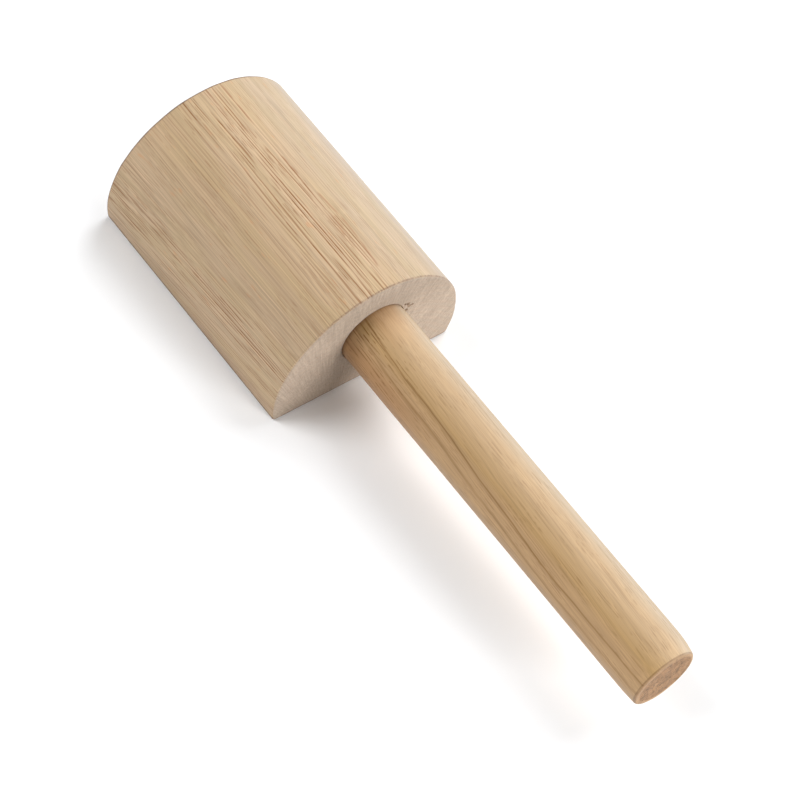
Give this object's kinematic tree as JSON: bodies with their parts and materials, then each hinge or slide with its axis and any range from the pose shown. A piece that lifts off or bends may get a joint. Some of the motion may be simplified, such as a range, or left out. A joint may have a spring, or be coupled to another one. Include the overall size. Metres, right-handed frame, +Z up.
{
  "type": "meat mallet",
  "caption": "Wooden meat mallet: a solid D-section head with a flat striking face and a round dowel handle glued into its end grain.",
  "frame": {"origin": "centre of the flat striking face on the underside of the head", "axes": "+X along the handle, from the head towards the handle's free end; +Z up from the striking face through the round back of the head"},
  "size_m": [0.3, 0.091, 0.0575],
  "materials": {
    "head_wood": "bare, sanded, straight grained",
    "handle_wood": "smooth, thin satin oil",
    "cured_glue": "clear yellowish cured wood glue"
  },
  "bodies": {
    "root": {"head": "head_wood", "handle": "handle_wood", "glue_film": "cured_glue"}
  },
  "joints": []
}
